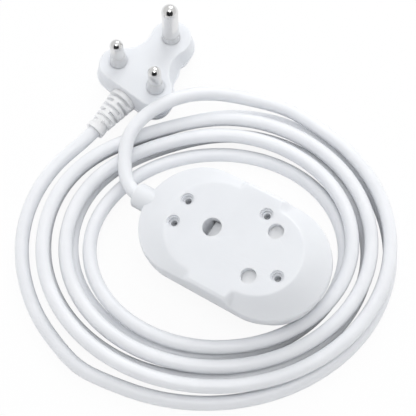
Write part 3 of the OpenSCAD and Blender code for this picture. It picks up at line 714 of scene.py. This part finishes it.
def addCouplerTop(s):
    columns = [shellColumn(s, ray) for ray in outlineRays(s)]
    high = len(columns[0])
    vertices = [v for column in columns for v in column]
    faces = []
    for i in range(len(columns)):
        a, b = i * high, (i + 1) % len(columns) * high
        for j in range(high - 1):
            faces.append((a + j, b + j, b + j + 1, a + j + 1))
    faces.append(tuple(i * high for i in range(len(columns))))
    faces.append(tuple(i * high + high - 1 for i in range(len(columns))))
    top = addPart("couplerTop", vertices, faces)
    face, parting = s["faceHeight"], s["partingHeight"]
    w = screwSettings
    tubes = [(x, y, w["tubeRadius"], parting, face - 2) for x, y in w["places"]]
    combine(top, addRods("screwTubes", tubes), "UNION")
    combine(top, addNoseHalf(s), "UNION")
    for name, block in guardSettings.items():
        combine(top, addBlocks(name, [block]), "UNION")
    mouths = [(x, y, r, parting + 1, face + 5) for x, y, r in socketSettings.values()]
    mouths += [(x, y, w["counterboreRadius"], face - w["counterboreDepth"], face + 5)
               for x, y in w["places"]]
    combine(top, addRods("mouths", mouths), "DIFFERENCE")
    seats = [(x, y, w["seatRadius"], face - w["seatDepth"], face + 5) for x, y in w["places"]]
    combine(top, addRods("screwSeats", seats), "DIFFERENCE")
    pilots = [(x, y, w["pilotRadius"], parting - 5, face + 5) for x, y in w["places"]]
    combine(top, addRods("pilots", pilots, 32), "DIFFERENCE")
    passage = addRods("cordPassage", [(0, 0, 3.75, 0, 20)])
    passage.rotation_euler = (0, math.pi / 2, 0)
    passage.location = ((s["noseEnd"] - 2) * mm, 0, parting * mm)
    pick(passage)
    bpy.ops.object.transform_apply(location=True, rotation=True, scale=True)
    combine(top, passage, "DIFFERENCE")
    addBevel(top, 0.35 * mm, 3, 34)
    applyModifiers(top)
    top.matrix_world = Matrix.Translation(Vector(s["place"]) * mm) @ couplerTurn.to_4x4()
    pick(top)
    bpy.ops.object.transform_apply(location=True, rotation=True, scale=True)
    smoothFaces(top, 38)
    setFinish(top, "shellPlastic")
    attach(top, mainBody)
    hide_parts("upper_shell")
    print("coupler top shaped:", len(top.data.polygons), "faces")


addCouplerTop(couplerSettings)


# plug: three lobes with drawn-in sides, a parting ledge and a back that narrows

def arcPoints(centre, radius, start, stop, count, side=1):
    points = []
    for i in range(count + 1):
        angle = start + (stop - start) * i / count
        out = Vector((math.cos(angle), math.sin(angle)))
        points.append((Vector(centre) + out * radius, out * side))
    return points


def plugOutline(s):
    earth, pole = Vector(s["earthLobe"][:2]), Vector(s["poleLobe"][:2])
    earthRadius, poleRadius, waist = s["earthLobe"][2], s["poleLobe"][2], s["waistRadius"]
    apart = (pole - earth).length
    along = (pole - earth) / apart
    near = ((waist + earthRadius) ** 2 - (waist + poleRadius) ** 2 + apart ** 2) / (2 * apart)
    off = math.sqrt((waist + earthRadius) ** 2 - near ** 2)
    hollow = earth + along * near + Vector((-along.y, along.x)) * off
    toPole, toEarth = pole - hollow, earth - hollow
    lower = pole.y - poleRadius
    half = [(Vector((pole.x * i / 8, lower)), Vector((0, -1))) for i in range(8)]
    half += arcPoints(pole, poleRadius, -math.pi / 2, math.atan2(-toPole.y, -toPole.x), 44)
    half += arcPoints(hollow, waist, math.atan2(toPole.y, toPole.x) + 2 * math.pi,
                      math.atan2(toEarth.y, toEarth.x), 34, -1)[1:]
    half += arcPoints(earth, earthRadius, math.atan2(-toEarth.y, -toEarth.x), math.pi / 2, 36)[1:]
    hollowFirst, hollowSteps = 8 + 45, 34
    for i in range(hollowSteps):
        place, normal = half[hollowFirst + i]
        wave = math.sin(math.pi * i / hollowSteps) ** 2
        half[hollowFirst + i] = (place, normal * (1 + s["waistFlare"] * wave))
    other = [(Vector((-p.x, p.y)), Vector((-n.x, n.y))) for p, n in half[-2:0:-1]]
    return half + other


def plugProfile(s):
    foot, crown, top = s["footRounding"], s["crown"], s["height"]
    rows = []
    for k in range(6):
        angle = math.radians(18 * k)
        z = foot * (1 - math.cos(angle))
        inset = s["backTaper"] * (1 - z / s["ledgeHeight"]) + foot * (1 - math.sin(angle))
        rows.append((s["flare"] - inset, z))
    rows.append((s["flare"], s["ledgeHeight"]))
    rows.append((s["flare"] - s["ledge"], s["ledgeHeight"]))
    for k in range(7):
        angle = math.radians(15 * k)
        rows.append((-crown * (1 - math.cos(angle)), top - crown + crown * math.sin(angle)))
    rows.append((-crown - 0.8, top))
    return rows


def placeOnPlug(piece):
    s = plugSettings
    piece.matrix_world = (Matrix.Translation(Vector((*s["place"], 0)) * mm)
                          @ Matrix.Rotation(math.radians(s["yaw"]), 4, "Z"))
    pick(piece)
    bpy.ops.object.transform_apply(location=True, rotation=True, scale=True)


def addPlugMoulding(s):
    outline, rows = plugOutline(s), plugProfile(s)
    high = len(rows)
    vertices = [(*(p + n * grow), z) for p, n in outline for grow, z in rows]
    faces = []
    for i in range(len(outline)):
        a, b = i * high, (i + 1) % len(outline) * high
        for j in range(high - 1):
            faces.append((a + j, b + j, b + j + 1, a + j + 1))
    faces.append(tuple(i * high for i in range(len(outline))))
    faces.append(tuple(i * high + high - 1 for i in range(len(outline))))
    plug = addPart("plugMoulding", vertices, faces)
    r = plugRooms
    pins = pinSettings.values()
    earthPlace = s["earthLobe"][1]
    poleSide = pinSettings["livePin"]["place"][0]
    bridges = [(*pin["place"], r["bridgeRadius"], *r["bridgeHeights"]) for pin in pins]
    combine(plug, addRods("pinRooms", bridges), "DIFFERENCE")
    crimps = [(*pin["place"], r["crimpRadius"], *r["crimpHeights"]) for pin in pins]
    combine(plug, addRods("crimpRooms", crimps, 32), "DIFFERENCE")
    across = (-r["bridgeHalfWidth"], r["bridgeHalfWidth"])
    half = (-r["coreHalfWidth"], r["coreHalfWidth"])
    blocks = {
        "bridgeRoom": ((-poleSide, poleSide), across, r["bridgeHeights"]),
        "bridgeArm": (across, (0, earthPlace), r["bridgeHeights"]),
        "coreRoom": ((-r["coreSpan"], r["coreSpan"]), (r["coreStart"], half[1]), r["coreHeights"]),
        "earthCoreRoom": (half, (0, earthPlace), r["coreHeights"]),
    }
    for name, block in blocks.items():
        combine(plug, addBlocks(name, [block]), "DIFFERENCE")
    wells = [(*pin["place"], pin["well"], r["wellStart"], r["above"]) for pin in pins]
    combine(plug, addRods("collarWells", wells), "DIFFERENCE")
    grooves = [(*pin["place"], pin["groove"], s["height"] - r["grooveDepth"], r["above"])
               for pin in pins if pin["groove"]]
    combine(plug, addRods("grooves", grooves), "DIFFERENCE")
    mouth = addRods("reliefMouth", [(0, 0, s["reliefRadius"], 0, 12 + r["reliefDepth"])])
    mouth.rotation_euler = (math.pi / 2, 0, 0)
    mouth.location = (0, (s["reliefStart"] + r["reliefDepth"]) * mm, s["reliefHeight"] * mm)
    pick(mouth)
    bpy.ops.object.transform_apply(location=True, rotation=True, scale=True)
    combine(plug, mouth, "DIFFERENCE")
    addBevel(plug, 0.18 * mm, 2, 40)
    applyModifiers(plug)
    placeOnPlug(plug)
    smoothFaces(plug, 32)
    setFinish(plug, "plugPlastic")
    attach(plug, mainBody)
    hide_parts("plug_body")
    print("plug shaped:", len(plug.data.polygons), "faces")
    return plug


def addPin(name, s):
    p, radius = pinShape, s["radius"]
    base, tip = plugSettings["height"] + s["collar"], plugSettings["height"] + s["length"]
    rows = [(0, p["tailStart"]), (p["tailRadius"], p["tailStart"]), (p["tailRadius"], p["tailEnd"]),
            (radius - p["neck"], p["tailEnd"]), (radius - p["neck"], base),
            (radius - p["lip"], base), (radius, base + p["lip"])]
    for k in range(13):
        angle = math.radians(7.5 * k)
        rows.append((radius * math.cos(angle), tip - radius + radius * math.sin(angle)))
    count = p["sides"]
    vertices = [(0, 0, rows[0][1])]
    for r, z in rows[1:-1]:
        for i in range(count):
            angle = 2 * math.pi * i / count
            vertices.append((r * math.cos(angle), r * math.sin(angle), z))
    vertices.append((0, 0, rows[-1][1]))
    faces = []
    for i in range(count):
        j = (i + 1) % count
        faces.append((0, 1 + j, 1 + i))
        for k in range(len(rows) - 3):
            a, b = 1 + k * count, 1 + (k + 1) * count
            faces.append((a + i, a + j, b + j, b + i))
        a = 1 + (len(rows) - 3) * count
        faces.append((a + i, a + j, len(vertices) - 1))
    vertices = [(x + s["place"][0], y + s["place"][1], z) for x, y, z in vertices]
    pin = addPart(name, vertices, faces)
    placeOnPlug(pin)
    smoothFaces(pin, 35)
    setFinish(pin, "pinNickel")
    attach(pin, mainBody)
    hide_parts(s["node"])
    return pin


plugMoulding = addPlugMoulding(plugSettings)
pins = [addPin(name, s) for name, s in pinSettings.items()]

# the cord is declared with everything that hangs on its plug end

setFinish(cord, "cordSheath")
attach(cord, mainBody)
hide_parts("cord_coupler_stretch", "cord_coil", "cord_plug_stretch")

# plain pale floor, soft lights

floorSettings = {
    "size": 6.0,
    "height": -0.0003,
    "colour": (0.93, 0.935, 0.945),
    "whiteShare": 0.92,
}


def addFloor(s):
    deselectAll()
    bpy.ops.mesh.primitive_plane_add(size=s["size"], location=(0, 0, s["height"]))
    floor = bpy.context.object
    floor.name = "floor"
    material, tree, shader, _ = startMaterial("floorWhite")
    shader.inputs["Base Color"].default_value = (*s["colour"], 1)
    shader.inputs["Roughness"].default_value = 0.9
    shader.inputs["Specular IOR Level"].default_value = 0.0
    glow = tree.nodes.new("ShaderNodeEmission")
    glow.inputs["Color"].default_value = (1, 1, 1, 1)
    glow.inputs["Strength"].default_value = 1.0
    rays = tree.nodes.new("ShaderNodeLightPath")
    scaled = tree.nodes.new("ShaderNodeMath")
    scaled.operation = "MULTIPLY"
    scaled.inputs[1].default_value = s["whiteShare"]
    mix = tree.nodes.new("ShaderNodeMixShader")
    tree.links.new(rays.outputs["Is Camera Ray"], scaled.inputs[0])
    tree.links.new(scaled.outputs[0], mix.inputs[0])
    tree.links.new(shader.outputs[0], mix.inputs[1])
    tree.links.new(glow.outputs[0], mix.inputs[2])
    tree.links.new(mix.outputs[0], tree.nodes["Material Output"].inputs["Surface"])
    floor.data.materials.append(material)


addFloor(floorSettings)

lampSettings = {
    "skyLamp": {"place": (-0.35, 1.05, 0.95), "size": 0.9, "power": 5.0},
    "topLamp": {"place": (0.10, -0.14, 1.25), "size": 0.6, "power": 3.6},
}
worldStrength = 0.78
cardSettings = {
    "darkCard": {"place": (0.42, -0.65, 0.70), "size": (1.2, 0.8),
                 "colour": (0.02, 0.02, 0.022), "glossOnly": False},
    "glossCard": {"place": (0.45, -0.70, 0.76), "size": (2.3, 1.7),
                  "colour": (0.03, 0.03, 0.032), "glossOnly": True},
}


def addLamp(name, s):
    deselectAll()
    bpy.ops.object.light_add(type="AREA", location=s["place"])
    lamp = bpy.context.object
    lamp.name = name
    lamp.data.shape = "DISK"
    lamp.data.size = s["size"]
    lamp.data.energy = s["power"]
    aim = Vector(cameraSettings["target"]) - Vector(s["place"])
    lamp.rotation_euler = aim.to_track_quat("-Z", "Y").to_euler()


for lampName, settings in lampSettings.items():
    addLamp(lampName, settings)


def addCard(name, s):
    deselectAll()
    bpy.ops.mesh.primitive_plane_add(size=1, location=s["place"])
    card = bpy.context.object
    card.name = name
    card.scale = (*s["size"], 1)
    aim = Vector(cameraSettings["target"]) - Vector(s["place"])
    card.rotation_euler = aim.to_track_quat("-Z", "Y").to_euler()
    card.visible_camera = False
    if s["glossOnly"]:
        card.visible_diffuse = False
        card.visible_shadow = False
    material, tree, shader, _ = startMaterial(name + "Cloth")
    shader.inputs["Base Color"].default_value = (*s["colour"], 1)
    shader.inputs["Roughness"].default_value = 0.95
    shader.inputs["Specular IOR Level"].default_value = 0.0
    card.data.materials.append(material)


for cardName, settings in cardSettings.items():
    addCard(cardName, settings)

world = bpy.data.worlds.new("studio")
world.use_nodes = True
world.node_tree.nodes["Background"].inputs["Color"].default_value = (1, 1, 1, 1)
world.node_tree.nodes["Background"].inputs["Strength"].default_value = worldStrength
scene.world = world
scene.view_settings.view_transform = "Standard"
print("floor and lights set")
